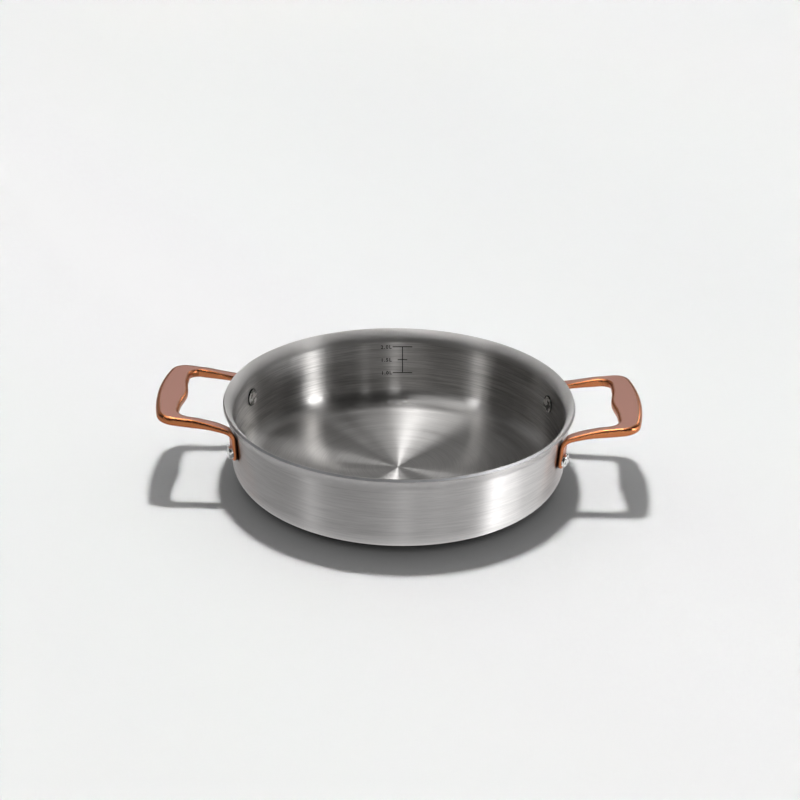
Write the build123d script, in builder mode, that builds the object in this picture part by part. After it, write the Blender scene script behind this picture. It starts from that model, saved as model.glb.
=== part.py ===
from build123d import *
import os
from math import cos, degrees, radians, sin

# A low round braiser pressed from three bonded sheets, steel outside and in with an
# aluminium core between them, and two cast loop handles, each held by two rivets.
# Millimetres, +Z up. The origin is the middle of the underside, where the pan stands.
# The handles point along +X and -X.

# Pan sizes. The cavity's radius is taken where the wall turns out into the flare, and
# the corner and flare radii are those of the pan's outer surface.
cavity_radius = 120.0
pan_height = 59.5
wall_draft = 3.0
corner_radius = 15.5
steel_thickness = 0.5
core_thickness = 1.6
flare_radius = 7.2
flare_angle = 63.0
core_setback = 0.3

# Rivet sizes
rivet_azimuth = 21.4
rivet_height = 35.4
shank_radius = 2.5
inner_head_radius = 6.6
inner_head_height = 1.1
inner_head_edge = 0.45
dimple_radius = 2.1
dimple_depth = 0.35
outer_head_radius = 4.9
outer_head_height = 2.4
outer_head_edge = 0.9

# Handle sizes. An arm runs straight into the grip over the straight length, and its
# width and thickness are those that it has there.
foot_width = 9.6
foot_thickness = 3.2
foot_edge_radius = 1.1
foot_below_rivet = 6.8
foot_above_rivet = 9.5
bend_radius = 7.0
arm_rise = 14.0
arm_bow_radius = 190.0
arm_straight_length = 11.5
arm_width = 8.0
arm_thickness = 6.2
arm_spacing = 84.0
shoulder_radius = 2.6
underside_radius = 2.1
grip_rise = 7.0
grip_width = 18.8
grip_swell = 2.3
grip_swell_length = 44.0
grip_outer_radius = 165.0
grip_corner_radius = 13.0
opening_corner_radius = 8.0

# An arm's root is let into the grip by the overlap, smaller than the grip by the step.
root_overlap = 2.0
root_step = 0.02

# How early an arm turns from its foot's direction to the grip's, how late it swells to
# its full thickness, and how many sections shape it
splay_power = 3
swell_power = 1.5
bend_stations = 5
bow_stations = 4

overrun = 5.0

sheet_thickness = 2 * steel_thickness + core_thickness


def polar(length, angle):
    """A vector in the plane of radius and height, its angle measured up from the radius."""
    return Vector(length * cos(radians(angle)), length * sin(radians(angle)))


# The wall leans out by the draft, so its outward normal points down by the same angle.
wall_normal = polar(1, -wall_draft)
wall_up = polar(1, 90 - wall_draft)
inner_flare_radius = flare_radius + sheet_thickness
flare_drop = inner_flare_radius * (sin(radians(flare_angle)) - sin(radians(wall_draft)))
flare_centre = Vector(cavity_radius, pan_height - flare_drop) + wall_normal * inner_flare_radius
corner_track = flare_centre - wall_normal * (flare_radius + corner_radius)
wall_length = (corner_track.Y - corner_radius) / wall_up.Y
corner_centre = corner_track - wall_up * wall_length


def sheet_outline(depth, short_by=0.0):
    """Half outline of the surface that lies depth inside the pan's outer surface."""
    floor = Line((0, depth), (corner_centre.X, depth))
    corner = JernArc(floor @ 1, (1, 0), corner_radius - depth, 90 - wall_draft)
    wall = PolarLine(corner @ 1, wall_length, 90 - wall_draft)
    flare = JernArc(wall @ 1, wall_up, flare_radius + depth, wall_draft - flare_angle + short_by)
    return floor @ 0, flare @ 1


def wall_radius(height):
    """Radius of the outer surface on the straight part of the wall."""
    on_wall = flare_centre - wall_normal * flare_radius
    return on_wall.X + (height - on_wall.Y) * wall_up.X / wall_up.Y


def outward(azimuth):
    """Level direction away from the pan's axis."""
    return Vector(cos(radians(azimuth)), sin(radians(azimuth)), 0)


def sideways(azimuth):
    """Level direction round the pan."""
    return Vector(-sin(radians(azimuth)), cos(radians(azimuth)), 0)


def rivet_plane(azimuth):
    """Plane on the wall's outer surface at a rivet, its normal square to the wall."""
    normal = outward(azimuth) * wall_normal.X + Vector(0, 0, wall_normal.Y)
    origin = outward(azimuth) * wall_radius(rivet_height) + Vector(0, 0, rivet_height)
    return Plane(origin=origin, x_dir=sideways(azimuth), z_dir=normal)


rivet_azimuths = {
    "right_back": rivet_azimuth,
    "left_back": 180 - rivet_azimuth,
    "left_front": 180 + rivet_azimuth,
    "right_front": 360 - rivet_azimuth,
}


# The three bonded sheets


def pressed_sheet(outer_depth, inner_depth, setback=0.0):
    """One sheet of the stack between two depths, with a hole for each rivet."""
    short_by = degrees(setback / (flare_radius + outer_depth))
    with BuildPart() as sheet:
        with BuildSketch(Plane.XZ):
            with BuildLine():
                outer_start, outer_lip = sheet_outline(outer_depth, short_by)
                inner_start, inner_lip = sheet_outline(inner_depth, short_by)
                Line(outer_start, inner_start)
                Line(outer_lip, inner_lip)
            make_face()
        revolve(axis=Axis.Z)
        for azimuth in rivet_azimuths.values():
            with BuildSketch(rivet_plane(azimuth)):
                Circle(shank_radius)
            extrude(amount=overrun, both=True, mode=Mode.SUBTRACT)
    return sheet


def filled_outline(depth):
    """The solid inside the surface that lies depth inside the pan's outer surface."""
    with BuildPart() as filled:
        with BuildSketch(Plane.XZ):
            with BuildLine():
                start, lip = sheet_outline(depth)
                Polyline(start, (0, lip.Y), lip)
            make_face()
        revolve(axis=Axis.Z)
    return filled


outer_ply = pressed_sheet(0, steel_thickness)
core_ply = pressed_sheet(steel_thickness, steel_thickness + core_thickness, core_setback)
inner_ply = pressed_sheet(steel_thickness + core_thickness, sheet_thickness)
pan_envelope = filled_outline(0)
cavity = filled_outline(sheet_thickness)


# The rivets. The flat head is pressed against the cavity's wall, with a shallow dimple
# in its middle, and the other head is closed over the outside of the foot.


def rivet(azimuth):
    """One rivet in place, from the head in the cavity to the head outside."""
    plane = rivet_plane(azimuth)
    outward_axis = Axis(plane.origin, plane.z_dir)
    head_plane = plane.offset(-sheet_thickness - inner_head_height)
    with BuildPart() as inner_head:
        with BuildSketch(head_plane):
            Circle(inner_head_radius)
        extrude(amount=inner_head_height + sheet_thickness)
        rim = inner_head.faces().sort_by(outward_axis)[0].edges()
        chamfer(rim, length=inner_head_edge)
        with Locations(head_plane.location):
            Cone(
                dimple_radius,
                0,
                dimple_depth,
                align=(Align.CENTER, Align.CENTER, Align.MIN),
                mode=Mode.SUBTRACT,
            )
        add(cavity.part, mode=Mode.INTERSECT)
    with BuildPart() as whole:
        add(inner_head.part)
        with BuildSketch(head_plane.offset(inner_head_height / 2)):
            Circle(shank_radius)
        extrude(amount=inner_head_height / 2 + sheet_thickness + foot_thickness)
        with BuildSketch(plane.offset(foot_thickness)):
            Circle(outer_head_radius)
        extrude(amount=outer_head_height)
        crown = whole.faces().sort_by(outward_axis)[-1].edges()
        fillet(crown, radius=outer_head_edge)
    return whole


# The handle is built at +X. Each foot lies on the wall, turns out in a tight bend and
# runs on as an arm in a long bow to the grip, which is one flat plate between the arms.
# The foot starts deeper than the wall's surface by the seat, so that cutting it with
# the round wall leaves it touching all over.
foot_radius = wall_radius(rivet_height)
foot_seat = foot_radius - (foot_radius**2 - (foot_width / 2) ** 2) ** 0.5
foot_depth = foot_thickness + foot_seat


def foot_plane(side):
    """Plane in the middle of the foot's thickness, on the side of +Y or -Y."""
    return rivet_plane(side * rivet_azimuth).offset(foot_thickness - foot_depth / 2)


foot_top = foot_plane(1).from_local_coords(Vector(0, foot_above_rivet, 0))
start_slope = 90 - wall_draft


def arm_track(slope):
    """Run and climb from the foot's top to the point where the arm has this slope."""
    bend_end = max(slope, arm_rise)
    run = bend_radius * (sin(radians(start_slope)) - sin(radians(bend_end)))
    climb = bend_radius * (cos(radians(bend_end)) - cos(radians(start_slope)))
    if slope < arm_rise:
        run += arm_bow_radius * (sin(radians(arm_rise)) - sin(radians(slope)))
        climb += arm_bow_radius * (cos(radians(slope)) - cos(radians(arm_rise)))
    return run, climb


bend_step = (start_slope - arm_rise) / bend_stations
bow_step = (arm_rise - grip_rise) / bow_stations
arm_slopes = [start_slope - i * bend_step for i in range(bend_stations)]
arm_slopes += [arm_rise - i * bow_step for i in range(bow_stations + 1)]
full_run, full_climb = arm_track(grip_rise)
grip_plane = Plane(
    origin=(foot_top.X + full_run, 0, foot_top.Z + full_climb),
    x_dir=(cos(radians(grip_rise)), 0, sin(radians(grip_rise))),
    z_dir=(-sin(radians(grip_rise)), 0, cos(radians(grip_rise))),
)
arm_centre = arm_spacing / 2
outer_edge = arm_centre + arm_width / 2
inner_edge = arm_centre - arm_width / 2
splay = foot_top.Y - arm_centre


def blend(at_foot, at_grip, share):
    """A size that changes evenly from the foot to the grip."""
    return at_foot + (at_grip - at_foot) * share


def arm_section(slope, side, inside_grip=0.0):
    """The arm's section where the arm has this slope, on the side of +Y or -Y."""
    run, climb = arm_track(slope)
    run_share = run / full_run
    turn_share = (1 - run_share) ** splay_power
    azimuth = side * rivet_azimuth * turn_share
    along = outward(azimuth) * cos(radians(slope)) + Vector(0, 0, sin(radians(slope)))
    track = Vector(foot_top.X + run, side * (arm_centre + splay * turn_share), foot_top.Z + climb)
    plane = Plane(origin=track + along * inside_grip, x_dir=sideways(azimuth), z_dir=along)
    with BuildSketch(plane) as section:
        Rectangle(
            blend(foot_width, arm_width - 2 * root_step, run_share),
            blend(foot_depth, arm_thickness - 2 * root_step, run_share**swell_power),
        )
        corners = section.vertices().sort_by(lambda v: v.Y + side * v.X)
        fillet(corners[:-1], radius=blend(foot_edge_radius, underside_radius, run_share))
        top_outside = section.vertices().sort_by(lambda v: v.Y + side * v.X)[-1]
        fillet(top_outside, radius=blend(foot_edge_radius, shoulder_radius, run_share))
    return section.sketch


def grip_plate():
    """The flat grip and the two arm roots that run from it, with the opening's end."""
    opening_x = arm_straight_length
    grip_length = opening_x + grip_width
    outer_bow = grip_outer_radius - (grip_outer_radius**2 - outer_edge**2) ** 0.5
    corner_x = grip_length - outer_bow
    swell_end = grip_swell_length / 2
    along_grip = Axis(grip_plane.origin, grip_plane.x_dir)
    up_grip = Axis(grip_plane.origin, grip_plane.z_dir)

    with BuildPart() as grip:
        with BuildSketch(grip_plane) as outline:
            with BuildLine():
                ThreePointArc((corner_x, -outer_edge), (grip_length, 0), (corner_x, outer_edge))
                Polyline(
                    (corner_x, outer_edge),
                    (0, outer_edge),
                    (0, inner_edge),
                    (opening_x, inner_edge),
                    (opening_x, swell_end),
                )
                Spline(
                    (opening_x, swell_end),
                    (opening_x - grip_swell, 0),
                    (opening_x, -swell_end),
                    tangents=[(0, -1), (0, -1)],
                )
                Polyline(
                    (opening_x, -swell_end),
                    (opening_x, -inner_edge),
                    (0, -inner_edge),
                    (0, -outer_edge),
                    (corner_x, -outer_edge),
                )
            make_face()
            opening_corners = outline.vertices().filter_by(
                lambda v: (swell_end + inner_edge) / 2 < abs(v.Y) < arm_centre
            )
            fillet(opening_corners.group_by(Axis.X)[-1], radius=opening_corner_radius)
            outer_corners = outline.vertices().group_by(Axis.X)[-1]
            fillet(outer_corners, radius=grip_corner_radius)
        extrude(amount=arm_thickness / 2, both=True)

        # The plate's long edges are rounded, the outer ones at the top the most. The
        # arm roots' ends stay sharp, because the arms go on from there.
        def long_edges(place):
            edges = grip.faces().filter_by(grip_plane).sort_by(up_grip)[place].edges()
            return edges - edges.group_by(along_grip)[0]

        def is_outside(edge):
            middle = grip_plane.to_local_coords(edge.center())
            return abs(middle.Y) > arm_centre or middle.X > opening_x + grip_width / 2

        fillet(long_edges(-1).filter_by(is_outside), radius=shoulder_radius)
        opening_rim = long_edges(-1).filter_by(is_outside, reverse=True)
        fillet(opening_rim + long_edges(0), radius=underside_radius)
    return grip


def foot(side):
    """A foot with a round end, on the side of +Y or -Y, before it is cut to the wall."""
    plane = foot_plane(side)
    half = foot_width / 2
    round_start = half - foot_below_rivet
    with BuildPart() as slab:
        with BuildSketch(plane):
            with BuildLine():
                Polyline(
                    (half, round_start),
                    (half, foot_above_rivet),
                    (-half, foot_above_rivet),
                    (-half, round_start),
                )
                ThreePointArc((-half, round_start), (0, -foot_below_rivet), (half, round_start))
            make_face()
        extrude(amount=foot_depth / 2, both=True)
        rims = slab.faces().filter_by(plane).edges()
        rims -= rims.group_by(Axis(plane.origin, plane.y_dir))[-1]
        fillet(rims, radius=foot_edge_radius)
    return slab


grip = grip_plate()
with BuildPart() as handle_right:
    add(grip.part)
    for side in (1, -1):
        sections = [arm_section(slope, side) for slope in arm_slopes]
        loft(sections + [arm_section(grip_rise, side, root_overlap)])
        add(foot(side).part)
    add(pan_envelope.part, mode=Mode.SUBTRACT)
    for side in (1, -1):
        with BuildSketch(rivet_plane(side * rivet_azimuth)):
            Circle(shank_radius)
        extrude(amount=overrun, both=True, mode=Mode.SUBTRACT)

with BuildPart() as handle_left:
    add(handle_right.part, rotation=(0, 0, 180))

pieces = {
    "inner_ply": inner_ply,
    "core_ply": core_ply,
    "outer_ply": outer_ply,
    "handle_left": handle_left,
    "handle_right": handle_right,
}
for place, azimuth in rivet_azimuths.items():
    pieces["rivet_" + place] = rivet(azimuth)

os.makedirs("parts", exist_ok=True)
for name, piece in pieces.items():
    piece.part.label = name
    export_step(piece.part, "parts/" + name + ".step")
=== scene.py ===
import math

import bmesh
import bpy
from bpy.props import FloatProperty, FloatVectorProperty, PointerProperty
from mathutils import Matrix, Vector


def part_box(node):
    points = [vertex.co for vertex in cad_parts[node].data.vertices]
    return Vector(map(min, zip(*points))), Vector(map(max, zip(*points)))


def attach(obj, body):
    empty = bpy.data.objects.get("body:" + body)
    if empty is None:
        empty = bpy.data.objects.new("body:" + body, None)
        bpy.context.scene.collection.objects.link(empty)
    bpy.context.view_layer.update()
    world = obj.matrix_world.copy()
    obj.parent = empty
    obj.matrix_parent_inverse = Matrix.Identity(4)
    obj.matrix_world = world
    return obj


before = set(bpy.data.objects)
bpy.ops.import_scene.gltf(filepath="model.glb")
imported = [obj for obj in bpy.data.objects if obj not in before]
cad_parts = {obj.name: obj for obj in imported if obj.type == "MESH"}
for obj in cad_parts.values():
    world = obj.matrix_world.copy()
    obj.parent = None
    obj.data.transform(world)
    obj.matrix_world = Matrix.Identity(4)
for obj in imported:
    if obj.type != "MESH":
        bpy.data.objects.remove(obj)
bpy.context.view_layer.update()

bl_info = {
    "name": "Braiser Studio",
    "version": (1, 0, 0),
    "blender": (4, 5, 0),
    "location": "View3D > Sidebar > Braiser",
    "description": "Dresses a riveted clad-steel braiser and sets it in a plain studio",
    "category": "Object",
}

MM = 0.001

# The wall is straight up to this height, and the rim flares above it.
FLARE_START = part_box("outer_ply")[1].z - 8.2 * MM

# The outside of the wall at that height, its lean, and the inside of the cooking space.
WALL_RADIUS = 122.6 * MM
WALL_DRAFT = math.radians(3)
CAVITY_RADIUS = 120 * MM

# Each rivet, and the foot that it holds, is turned this far from the line through both handles.
FOOT_TURN = math.radians(21.4)
RIVET_HEIGHT = 35.4 * MM
RIVET_HEAD = 6.6 * MM

# Where the parts of a handle meet, measured from the middle of the pan.
FOOT_END = 117 * MM
ARM_START = 123 * MM
ARM_END = 146 * MM
GRIP_START = 150 * MM

# The grip rises by 7 degrees, so its top faces the pan by this much.
GRIP_LEAN = 0.12

# The blasted flare spreads reflections this much on both sheets.
RIM_ROUGHNESS = 0.5

# The litre marks lie this far off the wall, so that they don't flicker into it.
PRINT_LIFT = 0.04 * MM

# Nearly all of a noise's values lie in this range.
NOISE_RANGE = {"From Min": 0.3, "From Max": 0.7}
SMOOTH = {"interpolation_type": "SMOOTHSTEP"}

# The lamp that casts the shadow hangs almost overhead and a little behind.
KEY_PLACE = Vector((-27, 431, 1467)) * MM

# An area lamp with this many watts for each square metre looks just white.
WATTS_FOR_WHITE = 4
SOFTBOX_DISTANCE = 6.0

# Each softbox: azimuth from the camera's side, elevation, width and height, all in degrees, and
# strength.
SOFTBOXES = (
    ("strip_right", 66, 20, 10, 18, 10.8),
    ("bank_near", 76, 4, 13, 8, 6),
    ("bank_right", 90, 4, 34, 8, 2.8),
    ("spot_behind", -171, 71, 4, 18, 16),
    ("fan_behind", 166, 67, 10, 15, 2.2),
    ("panel_behind", -157, 65, 14, 15, 3),
    ("panel_above", -90, 73, 28, 26, 1.3),
    ("strip_left", -61.5, 36, 3, 12, 12.5),
    ("edge_behind", 153, 30, 5, 20, 5),
    ("edge_front", 26, 22, 3, 14, 1.5),
    ("edge_middle", 4.6, 22, 4, 14, 3),
)

# The camera stands 1.2 m away, looks down by 25.6 degrees and leans by 1.1 degrees.
CAMERA_PLACE = Vector((11.814, -1081.414, 574.281)) * MM
CAMERA_RIGHT = Vector((0.999668, 0.018866, 0.017549))
CAMERA_UP = Vector((-0.023972, 0.431304, 0.901888))
FOCAL_LENGTH_PIXELS = 1665.9
PICTURE_WIDTH_PIXELS = 800


def linear(hex_colour):
    """Turns an sRGB hex colour into Blender's linear red, green, blue and alpha."""
    channels = [int(hex_colour[i : i + 2], 16) / 255 for i in (1, 3, 5)]
    return [c / 12.92 if c <= 0.04045 else ((c + 0.055) / 1.055) ** 2.4 for c in channels] + [1.0]


def shade(rgba, amount):
    """The same colour, lighter or darker."""
    return [min(1.0, channel * amount) for channel in rgba[:3]] + [1.0]


# Settings


def colour(name, description, hex_colour):
    """A colour that the user may change."""
    return FloatVectorProperty(
        name=name,
        description=description,
        default=linear(hex_colour),
        size=4,
        min=0,
        max=1,
        subtype="COLOR",
    )


def length(name, description, millimetres):
    """A length that the user may change."""
    return FloatProperty(
        name=name, description=description, default=millimetres * MM, min=0, unit="LENGTH"
    )


def angle(name, description, degrees):
    """An angle that the user may change."""
    return FloatProperty(
        name=name, description=description, default=math.radians(degrees), unit="ROTATION"
    )


def brightness(name, description, default):
    """A strength of light that the user may change."""
    return FloatProperty(name=name, description=description, default=default, min=0)


class BraiserSteelSettings(bpy.types.PropertyGroup):
    inside: colour("Inside", "Stainless steel of the cooking surface", "#C4C2C0")
    outside: colour("Outside", "Stainless steel of the base and wall", "#E0DEDD")
    cut_edge: colour("Cut edge", "Aluminium core where the rim is cut", "#C4C4C6")
    rivets: colour("Rivets", "Polished rivet heads", "#F8F7F5")
    mark_width: length("Mark width", "Thickness of one visible stroke of the brush", 0.9)
    mark_length: length("Mark length", "Length of one visible stroke of the brush", 26.0)


class BraiserHandleSettings(bpy.types.PropertyGroup):
    satin: colour("Satin top", "Blasted upper faces of the handles", "#D8A596")
    polished: colour("Polished sides", "Polished sides and undersides of the handles", "#D08458")
    grain: length("Blasting grain", "Size of one visible pit on the satin top", 0.5)
    rounding: length("Rounding", "Radius that the polishing wheel gives the edges", 2.2)


class BraiserScaleSettings(bpy.types.PropertyGroup):
    etch: colour("Etch", "Darkened steel of the litre marks", "#2A2927")
    turn: angle("Turn", "Place of the scale round the wall, from the back", 0.28)
    lean: angle("Lean", "Small turn of the print on the wall", 1.3)
    line_width: length("Line width", "Thickness of the scale's lines", 0.75)
    long_tick: length("Long tick", "Length of the ticks at whole litres", 15.6)
    short_tick: length("Short tick", "Length of the tick at half litres", 7.6)
    digit_height: length("Digit height", "Height of the figures beside the ticks", 3.1)
    digit_gap: length("Digit gap", "Space between a tick and its figures", 0.7)
    lowest: length("Lowest mark", "Height of the mark at 1.0 litre", 24.3)
    litre: length("Litre step", "Rise of the surface for one litre", 21.8)


class BraiserStageSettings(bpy.types.PropertyGroup):
    floor: colour("Floor", "Pale floor and horizon", "#F0F0F0")
    key: brightness("Key light", "Strength of the light that casts the shadow", 26.7)
    key_size: length("Key size", "Radius of the lamp that casts the shadow", 87.0)
    ambient: brightness("Ambient light", "Light from all round that fills the shadow", 0.40)
    mirrored: brightness("Mirrored floor", "Brightness of the floor as the metal shows it", 0.72)
    soft: brightness("Soft light", "Strength of the studio's softboxes", 1.0)


# Shared helpers


def add(tree, kind, inputs=None, **settings):
    """Adds a shader node with its settings, and fills its inputs or links them.

    An input is named, or numbered among those in use. A node given as a value is linked by its
    first output in use.
    """
    made = tree.nodes.new("ShaderNode" + kind)
    for name, value in settings.items():
        setattr(made, name, value)
    in_use = [socket for socket in made.inputs if socket.enabled]
    for name, value in (inputs or {}).items():
        named = [socket for socket in in_use if socket.name == name]
        into = named[0] if named else in_use[name]
        if isinstance(value, bpy.types.Node):
            value = next(socket for socket in value.outputs if socket.enabled)
        if isinstance(value, bpy.types.NodeSocket):
            tree.links.new(value, into)
        else:
            into.default_value = value
    return made


def new_material(name):
    """Makes an empty material and gives its node tree."""
    made = bpy.data.materials.new(name)
    made.use_nodes = True
    made.node_tree.nodes.clear()
    return made, made.node_tree


def finish_material(tree, inputs):
    """Adds the surface shader with its inputs and links it to the output."""
    shader = add(tree, "BsdfPrincipled", inputs)
    add(tree, "OutputMaterial", {"Surface": shader})


def give(node_names, material):
    """Puts a material on the nodes of the frame."""
    for name in node_names:
        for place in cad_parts[name].material_slots:
            place.material = material


def new_piece(name, bm, material):
    """Makes an object of a finished bmesh, with its material."""
    mesh = bpy.data.meshes.new(name)
    bm.to_mesh(mesh)
    bm.free()
    piece = bpy.data.objects.new(name, mesh)
    bpy.context.scene.collection.objects.link(piece)
    mesh.materials.append(material)
    return piece


def from_pan_axis(tree, place):
    """A point's distance from the upright axis of the pan."""
    level = add(tree, "VectorMath", {0: place, 1: (1, 1, 0)}, operation="MULTIPLY")
    return add(tree, "VectorMath", {0: level}, operation="LENGTH")


def turned_coordinates(tree):
    """A point's coordinates, and its way out and up along the pan's profile."""
    place = add(tree, "TexCoord").outputs["Object"]
    at = add(tree, "SeparateXYZ", {0: place}).outputs
    along = add(tree, "Math", {0: from_pan_axis(tree, place), 1: at["Z"]}, operation="ADD")
    return at, along


def brush_strokes(tree, at, along, width, stroke, detail=3.0):
    """Noise drawn out round the pan, as a turning pad leaves it."""
    position = add(
        tree,
        "CombineXYZ",
        {
            "X": add(tree, "Math", {0: at["X"], 1: 1 / stroke}, operation="MULTIPLY"),
            "Y": add(tree, "Math", {0: at["Y"], 1: 1 / stroke}, operation="MULTIPLY"),
            "Z": add(tree, "Math", {0: along, 1: 1 / width}, operation="MULTIPLY"),
        },
    )
    return add(
        tree, "TexNoise", {"Vector": position, "Scale": 1.0, "Detail": detail, "Roughness": 0.6}
    )


# Materials


def brushed_stainless(name, rgba, settings, roughness, contrast):
    """18/10 stainless sheet, brushed while it turned on a lathe.

    Light spreads across the strokes, so every lamp becomes a tall streak. A real stroke is too
    fine to show in the render, so the strokes are drawn coarser.
    """
    material, tree = new_material(name)
    at, along = turned_coordinates(tree)
    width, stroke = settings.mark_width, settings.mark_length
    strokes = brush_strokes(tree, at, along, width, stroke)
    # Long faint bands where the pad moved on. Only these change the gloss.
    bands = brush_strokes(tree, at, along, width * 7, stroke * 3, 1.0)
    wall = add(
        tree,
        "MapRange",
        {"Value": bands, **NOISE_RANGE, "To Min": roughness - 0.03, "To Max": roughness + 0.03},
    )
    at_rim = add(
        tree,
        "MapRange",
        {"Value": at["Z"], "From Min": FLARE_START - 1 * MM, "From Max": FLARE_START + 1.5 * MM},
        **SMOOTH,
    )
    rough = add(tree, "Mix", {"Factor": at_rim, "A": wall, "B": RIM_ROUGHNESS})
    strokes_share = add(tree, "Math", {0: strokes, 1: 0.65}, operation="MULTIPLY")
    bands_share = add(tree, "Math", {0: bands, 1: 0.35}, operation="MULTIPLY")
    both = add(tree, "Math", {0: strokes_share, 1: bands_share}, operation="ADD")
    # The strokes show less on the floor of the pan, where they are finer.
    upright = add(
        tree,
        "MapRange",
        {"Value": at["Z"], "From Min": 4 * MM, "From Max": 14 * MM, "To Min": 0.4},
        **SMOOTH,
    )
    centred = add(tree, "Math", {0: both, 1: 0.5}, operation="SUBTRACT")
    uneven = add(tree, "Math", {0: centred, 1: upright}, operation="MULTIPLY")
    light = add(tree, "MapRange", {"Value": uneven, "From Min": -0.14, "From Max": 0.14})
    brushed = add(
        tree,
        "Mix",
        {"Factor": light, "A": shade(rgba, 1 - contrast), "B": shade(rgba, 1 + contrast)},
        data_type="RGBA",
    )
    # The flare is painted 15% lighter than the wall: partly the paler look of its blasted finish,
    # partly painted brightness standing in for the light it catches.
    tone = add(
        tree, "Mix", {"Factor": at_rim, "A": brushed, "B": shade(rgba, 1.15)}, data_type="RGBA"
    )
    # The finely blasted flare scatters the light from overhead evenly, as matt things do.
    metallic = add(tree, "MapRange", {"Value": at_rim, "To Min": 1, "To Max": 0.42})
    finish_material(
        tree,
        {
            "Base Color": tone,
            "Metallic": metallic,
            "Roughness": rough,
            "Anisotropic": 1.0,
            "Anisotropic Rotation": 0.25,
            "Tangent": add(tree, "Tangent", direction_type="RADIAL", axis="Z"),
            "Normal": add(
                tree, "Bump", {"Height": strokes, "Strength": 0.3, "Distance": 0.01 * MM}
            ),
        },
    )
    return material


def cut_aluminium(rgba):
    """Aluminium core laid bare where the rim was trimmed: a duller line between two bright ones."""
    material, tree = new_material("cut_aluminium_core")
    at, along = turned_coordinates(tree)
    saw = brush_strokes(tree, at, along, 0.4 * MM, 4 * MM)
    tone = add(
        tree,
        "Mix",
        {"Factor": saw, "A": shade(rgba, 0.7), "B": shade(rgba, 1.15)},
        data_type="RGBA",
    )
    rough = add(tree, "MapRange", {"Value": saw, **NOISE_RANGE, "To Min": 0.42, "To Max": 0.6})
    finish_material(tree, {"Base Color": tone, "Metallic": 1.0, "Roughness": rough})
    return material


def flat_top(tree, at, normal):
    """How far a point is on the flat band along a casting's top, from 0 to 1."""
    facing = add(tree, "SeparateXYZ", {0: normal}).outputs
    reach = add(tree, "Math", {0: at["X"]}, operation="ABSOLUTE")
    side = add(tree, "Math", {0: at["X"]}, operation="SIGN")
    end = add(tree, "Math", {0: at["Y"]}, operation="SIGN")
    outwards = add(tree, "Math", {0: facing["X"], 1: side}, operation="MULTIPLY")
    sideways = add(tree, "Math", {0: facing["Y"], 1: end}, operation="MULTIPLY")
    # The feet point away from the pan's axis, and the arms run straight out.
    turn = add(
        tree,
        "MapRange",
        {
            "Value": reach,
            "From Min": FOOT_END,
            "From Max": ARM_START,
            "To Min": FOOT_TURN,
            "To Max": 0,
        },
    )
    cosine = add(tree, "Math", {0: turn}, operation="COSINE")
    sine = add(tree, "Math", {0: turn}, operation="SINE")
    sideways_share = add(tree, "Math", {0: sideways, 1: cosine}, operation="MULTIPLY")
    outwards_share = add(tree, "Math", {0: outwards, 1: sine}, operation="MULTIPLY")
    across = add(tree, "Math", {0: sideways_share, 1: outwards_share}, operation="SUBTRACT")
    slope = add(tree, "Math", {0: across}, operation="ABSOLUTE")
    level = add(
        tree,
        "MapRange",
        {"Value": slope, "From Min": 0.07, "From Max": 0.15, "To Min": 1, "To Max": 0},
        **SMOOTH,
    )
    up_or_out = add(tree, "Math", {0: facing["Z"], 1: outwards}, operation="ADD")
    shown = add(tree, "MapRange", {"Value": up_or_out, "From Min": 0.3, "From Max": 0.5}, **SMOOTH)
    # The grip's own long edges are polished too.
    off_grip_top = add(tree, "Math", {0: outwards, 1: GRIP_LEAN}, operation="ADD")
    tilt = add(tree, "Math", {0: off_grip_top}, operation="ABSOLUTE")
    tilted = add(tree, "MapRange", {"Value": tilt, "From Min": 0.07, "From Max": 0.15}, **SMOOTH)
    on_grip = add(tree, "MapRange", {"Value": reach, "From Min": ARM_END, "From Max": GRIP_START})
    lost = add(tree, "Math", {0: tilted, 1: on_grip}, operation="MULTIPLY")
    left = add(tree, "Math", {0: 1, 1: lost}, operation="SUBTRACT")
    band = add(tree, "Math", {0: level, 1: shown}, operation="MULTIPLY")
    return add(tree, "Math", {0: band, 1: left}, operation="MULTIPLY")


def joint_shade_mask(tree, place, at):
    """How far a point is in the crease between a foot and the wall, from 0 to 1: the mask of the
    shade painted there.
    """
    wall = add(
        tree,
        "MapRange",
        {
            "Value": at["Z"],
            "From Min": 0,
            "From Max": FLARE_START,
            "To Min": WALL_RADIUS - FLARE_START * math.tan(WALL_DRAFT),
            "To Max": WALL_RADIUS,
        },
    )
    gap = add(tree, "Math", {0: from_pan_axis(tree, place), 1: wall}, operation="SUBTRACT")
    return add(
        tree,
        "MapRange",
        {"Value": gap, "From Min": 0.8 * MM, "From Max": 2.3 * MM, "To Min": 1, "To Max": 0},
        **SMOOTH,
    )


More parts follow.
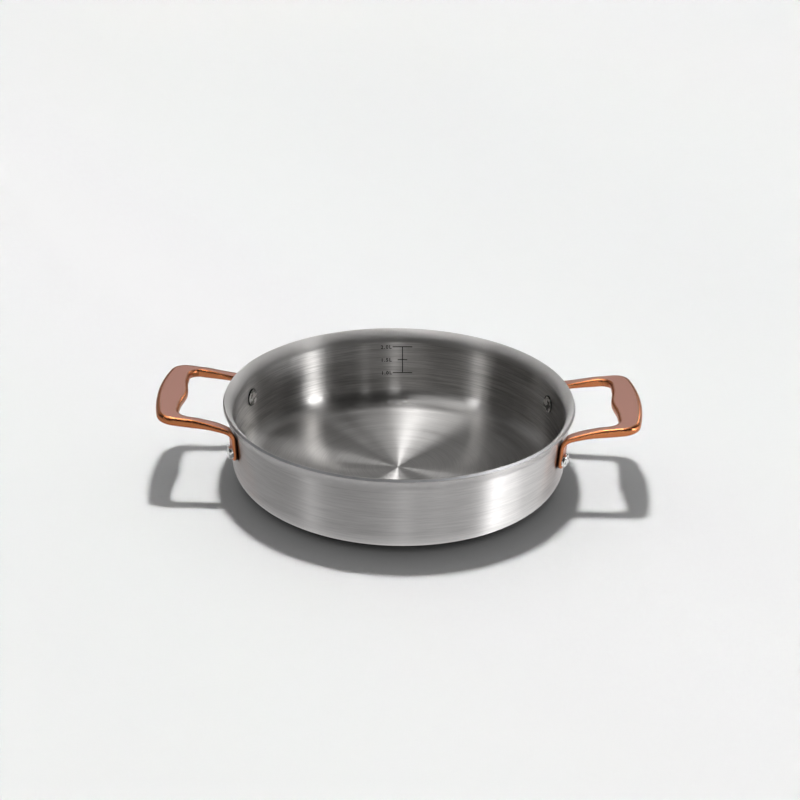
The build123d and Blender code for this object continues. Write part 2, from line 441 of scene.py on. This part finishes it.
def copper_coated_casting(settings):
    """Cast stainless with a rose-copper coating: a matt pink face in bright edges.

    It is blasted on top and polished round the sides. A real pit is too fine to show in the
    render, so the pits are drawn coarser.
    """
    material, tree = new_material("rose_copper_coated_casting")
    place = add(tree, "TexCoord").outputs["Object"]
    at = add(tree, "SeparateXYZ", {0: place}).outputs
    # The wheel rounds the edges more than the mould does.
    rounded = add(tree, "Bevel", {"Radius": settings.rounding}, samples=6)
    facing = add(
        tree,
        "VectorTransform",
        {0: rounded},
        vector_type="NORMAL",
        convert_from="WORLD",
        convert_to="OBJECT",
    )
    flat = flat_top(tree, at, facing)
    joint_shade = joint_shade_mask(tree, place, at)
    pits = add(
        tree,
        "TexNoise",
        {"Vector": place, "Scale": 1 / settings.grain, "Detail": 2.0, "Roughness": 0.6},
    )
    waves = add(tree, "TexNoise", {"Vector": place, "Scale": 1 / (12 * MM), "Detail": 1.0})
    polished = add(
        tree,
        "Mix",
        {"Factor": waves, "A": shade(settings.polished, 0.92), "B": settings.polished},
        data_type="RGBA",
    )
    satin = add(
        tree,
        "Mix",
        {"Factor": pits, "A": shade(settings.satin, 0.9), "B": settings.satin},
        data_type="RGBA",
    )
    coated = add(tree, "Mix", {"Factor": flat, "A": polished, "B": satin}, data_type="RGBA")
    # Painted shade: the crease where a foot meets the wall is painted almost black, standing in for
    # the shadow there.
    dark = shade(settings.polished, 0.06)
    tone = add(tree, "Mix", {"Factor": joint_shade, "A": coated, "B": dark}, data_type="RGBA")
    glossy = add(tree, "MapRange", {"Value": waves, **NOISE_RANGE, "To Min": 0.17, "To Max": 0.22})
    matt = add(tree, "MapRange", {"Value": pits, **NOISE_RANGE, "To Min": 0.42, "To Max": 0.5})
    pits_share = add(tree, "Math", {0: pits, 1: flat}, operation="MULTIPLY")
    waves_share = add(tree, "Math", {0: waves, 1: 0.3}, operation="MULTIPLY")
    height = add(tree, "Math", {0: pits_share, 1: waves_share}, operation="ADD")
    finish_material(
        tree,
        {
            "Base Color": tone,
            "Metallic": 1.0,
            "Roughness": add(tree, "Mix", {"Factor": flat, "A": glossy, "B": matt}),
            "Normal": add(
                tree,
                "Bump",
                {"Height": height, "Strength": 0.5, "Distance": 0.02 * MM, "Normal": rounded},
            ),
        },
    )
    return material


def polished_rivet(rgba):
    """Stainless rivet pressed in a die scarred with use: almost a mirror, dented a little.

    Painted shade rings its flat head, and painted light and dark patches stand in for reflections.
    """
    material, tree = new_material("die_polished_rivet")
    place = add(tree, "TexCoord").outputs["Object"]
    at = add(tree, "SeparateXYZ", {0: place}).outputs
    # A point's distance from the rivet's own axis.
    reach = add(tree, "Math", {0: at["X"]}, operation="ABSOLUTE")
    width = add(tree, "Math", {0: at["Y"]}, operation="ABSOLUTE")
    reach_share = add(tree, "Math", {0: reach, 1: math.sin(FOOT_TURN)}, operation="MULTIPLY")
    width_share = add(tree, "Math", {0: width, 1: math.cos(FOOT_TURN)}, operation="MULTIPLY")
    aside = add(tree, "Math", {0: reach_share, 1: width_share}, operation="SUBTRACT")
    above = add(tree, "Math", {0: at["Z"], 1: RIVET_HEIGHT}, operation="SUBTRACT")
    off_axis = add(tree, "CombineXYZ", {"X": aside, "Y": above})
    spread = add(tree, "VectorMath", {0: off_axis}, operation="LENGTH")
    # Painted shade: a dark ring where the head meets the wall.
    seam_shade = add(
        tree,
        "MapRange",
        {"Value": spread, "From Min": RIVET_HEAD - 0.7 * MM, "From Max": RIVET_HEAD - 0.2 * MM},
        **SMOOTH,
    )
    scuffs = add(tree, "TexNoise", {"Vector": place, "Scale": 1 / (1.2 * MM), "Detail": 4.0})
    dents = add(tree, "TexNoise", {"Vector": place, "Scale": 1 / (3.2 * MM), "Detail": 1.0})
    # Painted reflections: the dents mark out patches painted light and dark, standing in for the
    # glints of a dented mirror.
    reflection_patches = add(tree, "MapRange", {"Value": dents, "From Min": 0.44, "From Max": 0.54}, **SMOOTH)
    painted_reflections = add(
        tree, "Mix", {"Factor": reflection_patches, "A": shade(rgba, 0.3), "B": rgba}, data_type="RGBA"
    )
    tone = add(
        tree, "Mix", {"Factor": seam_shade, "A": painted_reflections, "B": shade(rgba, 0.08)}, data_type="RGBA"
    )
    scuffs_share = add(tree, "Math", {0: scuffs, 1: 0.03}, operation="MULTIPLY")
    height = add(tree, "Math", {0: dents, 1: scuffs_share}, operation="ADD")
    finish_material(
        tree,
        {
            "Base Color": tone,
            "Metallic": 1.0,
            "Roughness": add(
                tree, "MapRange", {"Value": scuffs, **NOISE_RANGE, "To Min": 0.08, "To Max": 0.18}
            ),
            "Normal": add(
                tree, "Bump", {"Height": height, "Strength": 1.0, "Distance": 0.6 * MM}
            ),
        },
    )
    return material


def etched_steel(rgba):
    """Steel blackened by a marking laser: matt, and a little uneven where the passes overlap."""
    material, tree = new_material("laser_blackened_steel")
    place = add(tree, "TexCoord").outputs["Object"]
    passes = add(tree, "TexNoise", {"Vector": place, "Scale": 1 / (0.6 * MM), "Detail": 2.0})
    tone = add(
        tree,
        "Mix",
        {"Factor": passes, "A": shade(rgba, 0.7), "B": shade(rgba, 1.3)},
        data_type="RGBA",
    )
    rough = add(tree, "MapRange", {"Value": passes, **NOISE_RANGE, "To Min": 0.5, "To Max": 0.7})
    finish_material(tree, {"Base Color": tone, "Roughness": rough, "Metallic": 0.3})
    return material


def painted_floor(settings):
    """Matt painted floor: plain, with the faintest unevenness of a roller.

    Metal sees it pale and without the shadow, and brighter towards the right, where most of the
    lamps are.
    """
    material, tree = new_material("matt_painted_floor")
    place = add(tree, "TexCoord").outputs["Object"]
    roller = add(tree, "TexNoise", {"Vector": place, "Scale": 1 / (25 * MM), "Detail": 2.0})
    tone = add(
        tree,
        "Mix",
        {"Factor": roller, "A": shade(settings.floor, 0.998), "B": shade(settings.floor, 1.002)},
        data_type="RGBA",
    )
    shown = add(
        tree,
        "MapRange",
        {
            "Value": add(tree, "SeparateXYZ", {0: place}).outputs["X"],
            "From Min": -0.25,
            "From Max": 0.25,
            "To Min": settings.mirrored * 0.86,
            "To Max": settings.mirrored * 1.26,
        },
    )
    seen = add(tree, "BsdfDiffuse", {"Color": tone})
    mirrored = add(tree, "Emission", {"Color": tone, "Strength": shown})
    in_metal = add(tree, "LightPath").outputs["Is Glossy Ray"]
    either = add(tree, "MixShader", {0: in_metal, 1: seen, 2: mirrored})
    add(tree, "OutputMaterial", {"Surface": either})
    return material


# Operators for the pieces


class BRAISER_OT_sheets(bpy.types.Operator):
    """Brushes the two steel sheets and bares the cut core"""

    bl_idname = "braiser.sheets"
    bl_label = "Steel sheets"

    def execute(self, context):
        settings = context.scene.braiser_steel
        # Each side with its roughness and the contrast of its strokes.
        for node, name, rgba, roughness, contrast in (
            ("inner_ply", "brushed_stainless_inside", settings.inside, 0.33, 0.24),
            ("outer_ply", "brushed_stainless_outside", settings.outside, 0.46, 0.12),
        ):
            give([node], brushed_stainless(name, rgba, settings, roughness, contrast))
        give(["core_ply"], cut_aluminium(settings.cut_edge))
        return {"FINISHED"}


class BRAISER_OT_handles(bpy.types.Operator):
    """Coats both cast handles"""

    bl_idname = "braiser.handles"
    bl_label = "Handles"

    def execute(self, context):
        coating = copper_coated_casting(context.scene.braiser_handles)
        give(["handle_left", "handle_right"], coating)
        return {"FINISHED"}


class BRAISER_OT_rivets(bpy.types.Operator):
    """Polishes the four rivets"""

    bl_idname = "braiser.rivets"
    bl_label = "Rivets"

    def execute(self, context):
        names = [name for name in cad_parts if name.startswith("rivet_")]
        if len(names) != 4:
            raise RuntimeError("the frame should have four rivets")
        give(names, polished_rivet(context.scene.braiser_steel.rivets))
        return {"FINISHED"}


def flat_bar(bm, width, height, middle, cuts):
    """Lays a flat bar of the scale on the plane, cut along its length so that it can bend."""
    made = bmesh.ops.create_grid(bm, x_segments=cuts, y_segments=1, size=0.5)["verts"]
    bmesh.ops.scale(bm, vec=(width, height, 1), verts=made)
    bmesh.ops.translate(bm, vec=(0, middle, 0), verts=made)


def flat_word(bm, words, height, right, middle):
    """Lays figures on the plane, with their right end and their middle where they are asked for."""
    curve = bpy.data.curves.new("figures", "FONT")
    curve.body = words
    curve.resolution_u = 3
    # Spaced and thickened a little, as small etched figures are.
    curve.space_character = 1.25
    curve.offset = 0.025
    holder = bpy.data.objects.new("figures", curve)
    bpy.context.scene.collection.objects.link(holder)
    bpy.context.view_layer.update()
    evaluated = holder.evaluated_get(bpy.context.evaluated_depsgraph_get())
    mesh = bpy.data.meshes.new_from_object(evaluated)
    bpy.data.objects.remove(holder)
    bpy.data.curves.remove(curve)
    own = bmesh.new()
    own.from_mesh(mesh)
    tall = max(v.co.y for v in own.verts) - min(v.co.y for v in own.verts)
    bmesh.ops.scale(own, vec=(height / tall, height / tall, 1), verts=own.verts)
    far = max(v.co.x for v in own.verts)
    low = min(v.co.y for v in own.verts)
    bmesh.ops.translate(own, vec=(right - far, middle - low - height / 2, 0), verts=own.verts)
    own.to_mesh(mesh)
    own.free()
    bm.from_mesh(mesh)
    bpy.data.meshes.remove(mesh)


class BRAISER_OT_litre_scale(bpy.types.Operator):
    """Etches the litre scale on the inside of the wall"""

    bl_idname = "braiser.litre_scale"
    bl_label = "Litre scale"

    def execute(self, context):
        settings = context.scene.braiser_scale
        half_way = settings.lowest + settings.litre / 2
        bm = bmesh.new()
        flat_bar(bm, settings.line_width, settings.litre, half_way, 1)
        figures_end = -settings.long_tick / 2 - settings.digit_gap
        for step, (words, tick) in enumerate(
            (
                ("1.0L", settings.long_tick),
                ("1.5L", settings.short_tick),
                ("2.0L", settings.long_tick),
            )
        ):
            level = settings.lowest + settings.litre * step / 2
            flat_bar(bm, tick, settings.line_width, level, 10)
            flat_word(bm, words, settings.digit_height, figures_end, level)
        leaning = Matrix.Rotation(settings.lean, 3, "Z")
        bmesh.ops.rotate(bm, cent=Vector((0, half_way, 0)), matrix=leaning, verts=bm.verts)
        # The flat scale is bent on to the wall behind it.
        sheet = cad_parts["inner_ply"]
        for vertex in bm.verts:
            turn = settings.turn + vertex.co.x / CAVITY_RADIUS
            outwards = Vector((math.sin(turn), math.cos(turn), 0))
            found, wall, *_ = sheet.ray_cast(Vector((0, 0, vertex.co.y)), outwards)
            if not found:
                raise RuntimeError("the litre scale has no wall behind it")
            vertex.co = wall - outwards * PRINT_LIFT
        # Recalculated, all the faces look at the wall, so they are turned to face into the pan.
        bmesh.ops.recalc_face_normals(bm, faces=bm.faces)
        bmesh.ops.reverse_faces(bm, faces=bm.faces)
        piece = new_piece("litre_scale", bm, etched_steel(settings.etch))
        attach(piece, "root")
        return {"FINISHED"}


# Stage


def softbox(name, azimuth, elevation, wide, tall, strength):
    """Hangs a softbox round the pan, placed and sized by angles in degrees.

    Only the metal shows it, so the floor stays even.
    """
    width, height = (
        2 * SOFTBOX_DISTANCE * math.tan(math.radians(size / 2)) for size in (wide, tall)
    )
    lamp = bpy.data.lights.new(name, "AREA")
    lamp.shape = "RECTANGLE"
    lamp.size = width
    lamp.size_y = height
    lamp.energy = strength * WATTS_FOR_WHITE * width * height
    round_it, up = math.radians(azimuth), math.radians(elevation)
    away = Vector(
        (math.sin(round_it) * math.cos(up), -math.cos(round_it) * math.cos(up), math.sin(up))
    )
    holder = bpy.data.objects.new(name, lamp)
    holder.location = away * SOFTBOX_DISTANCE
    holder.rotation_euler = away.to_track_quat("Z", "Y").to_euler()
    holder.visible_camera = False
    holder.visible_diffuse = False
    bpy.context.scene.collection.objects.link(holder)


def room(settings):
    """The room round the pan as the metal shows it.

    It is pale low down in front and to the right, and overhead it is dark in front and greyer
    behind.
    """
    world = bpy.data.worlds.new("studio_room")
    world.use_nodes = True
    tree = world.node_tree
    tree.nodes.clear()
    way = add(tree, "TexCoord").outputs["Generated"]
    at = add(tree, "SeparateXYZ", {0: way}).outputs
    open_side = add(tree, "VectorMath", {0: way, 1: (0.7, -0.7, 0)}, operation="DOT_PRODUCT")
    horizon = add(
        tree,
        "MapRange",
        {"Value": open_side, "From Min": 0.4, "From Max": 0.72, "To Min": 0.1, "To Max": 1.15},
        **SMOOTH,
    )
    behind = add(tree, "MapRange", {"Value": at["Y"], "From Min": 0.1, "From Max": 0.6}, **SMOOTH)
    above = add(tree, "MapRange", {"Value": behind, "To Min": 0.03, "To Max": 0.4})
    high = add(tree, "MapRange", {"Value": at["Z"], "From Min": 0.18, "From Max": 0.3}, **SMOOTH)
    shown = add(tree, "Mix", {"Factor": high, "A": horizon, "B": above})
    # Matt surfaces get plain light instead, most of it from behind, so that the shadow is darkest
    # close in front.
    plain = add(
        tree,
        "MapRange",
        {
            "Value": at["Y"],
            "From Min": -0.6,
            "From Max": 0.6,
            "To Min": 0.2 * settings.ambient,
            "To Max": 1.8 * settings.ambient,
        },
    )
    matt = add(tree, "LightPath").outputs["Is Diffuse Ray"]
    strength = add(tree, "Mix", {"Factor": matt, "A": shown, "B": plain})
    light = add(tree, "Background", {"Color": settings.floor, "Strength": strength})
    add(tree, "OutputWorld", {"Surface": light})
    bpy.context.scene.world = world


def key_lamp(settings):
    """Hangs the lamp that casts the shadow.

    Its light is as even over the floor as that of a big lamp far off.
    """
    lamp = bpy.data.lights.new("key", "POINT")
    lamp.energy = 1.0
    lamp.shadow_soft_size = settings.key_size
    lamp.use_nodes = True
    tree = lamp.node_tree
    tree.nodes.clear()
    way = add(tree, "SeparateXYZ", {0: add(tree, "TexCoord").outputs["Normal"]}).outputs
    down = add(tree, "Math", {0: way["Z"]}, operation="ABSOLUTE")
    # The slant makes the far floor darker, so it is taken out again, up to 20 times.
    slant = add(tree, "Math", {0: down, 1: 0.05}, operation="MAXIMUM")
    even = add(tree, "Math", {0: settings.key, 1: slant}, operation="DIVIDE")
    steady = add(tree, "LightFalloff", {"Strength": even}).outputs["Constant"]
    light = add(tree, "Emission", {"Strength": steady})
    add(tree, "OutputLight", {"Surface": light})
    holder = bpy.data.objects.new("key", lamp)
    holder.location = KEY_PLACE
    holder.visible_glossy = False
    bpy.context.scene.collection.objects.link(holder)


def photo_camera():
    """Sets up the camera at the photograph's viewing angle."""
    camera = bpy.data.cameras.new("camera")
    camera.sensor_width = 36
    camera.lens = FOCAL_LENGTH_PIXELS * camera.sensor_width / PICTURE_WIDTH_PIXELS
    camera.clip_start = 0.05
    camera.clip_end = 60
    axes = (CAMERA_RIGHT, CAMERA_UP, CAMERA_RIGHT.cross(CAMERA_UP))
    turn = Matrix(axes).transposed().to_quaternion()
    viewer = bpy.data.objects.new("camera", camera)
    viewer.matrix_world = Matrix.LocRotScale(CAMERA_PLACE, turn, None)
    bpy.context.scene.collection.objects.link(viewer)
    return viewer


class BRAISER_OT_stage(bpy.types.Operator):
    """Sets the floor, the room, the lamps and the camera"""

    bl_idname = "braiser.stage"
    bl_label = "Stage"

    def execute(self, context):
        settings = context.scene.braiser_stage
        scene = context.scene
        bm = bmesh.new()
        bmesh.ops.create_grid(bm, x_segments=1, y_segments=1, size=15)
        floor = new_piece("floor", bm, painted_floor(settings))

        room(settings)
        key_lamp(settings)
        for name, azimuth, elevation, wide, tall, strength in SOFTBOXES:
            softbox(name, azimuth, elevation, wide, tall, strength * settings.soft)

        scene.camera = photo_camera()
        scene.view_settings.view_transform = "Standard"
        # Light thrown back by the polished metal would speckle the floor.
        scene.cycles.caustics_reflective = False
        return {"FINISHED"}


class BRAISER_PT_panel(bpy.types.Panel):
    """Lists the steps that dress the braiser"""

    bl_idname = "BRAISER_PT_panel"
    bl_label = "Braiser"
    bl_space_type = "VIEW_3D"
    bl_region_type = "UI"
    bl_category = "Braiser"

    def draw(self, context):
        for operator in STEPS:
            self.layout.operator(operator.bl_idname)
        for owner in SETTINGS:
            box = self.layout.box()
            group = getattr(context.scene, owner)
            for name in group.__annotations__:
                box.prop(group, name)


STEPS = (
    BRAISER_OT_sheets,
    BRAISER_OT_handles,
    BRAISER_OT_rivets,
    BRAISER_OT_litre_scale,
    BRAISER_OT_stage,
)
SETTINGS = {
    "braiser_steel": BraiserSteelSettings,
    "braiser_handles": BraiserHandleSettings,
    "braiser_scale": BraiserScaleSettings,
    "braiser_stage": BraiserStageSettings,
}


def register():
    for made in (*SETTINGS.values(), *STEPS, BRAISER_PT_panel):
        bpy.utils.register_class(made)
    for name, group in SETTINGS.items():
        setattr(bpy.types.Scene, name, PointerProperty(type=group))


def unregister():
    for name in SETTINGS:
        delattr(bpy.types.Scene, name)
    for made in (BRAISER_PT_panel, *reversed(STEPS), *reversed(SETTINGS.values())):
        bpy.utils.unregister_class(made)


def main():
    register()
    bpy.ops.braiser.sheets()
    bpy.ops.braiser.handles()
    bpy.ops.braiser.rivets()
    bpy.ops.braiser.litre_scale()
    bpy.ops.braiser.stage()


if __name__ == "__main__":
    main()
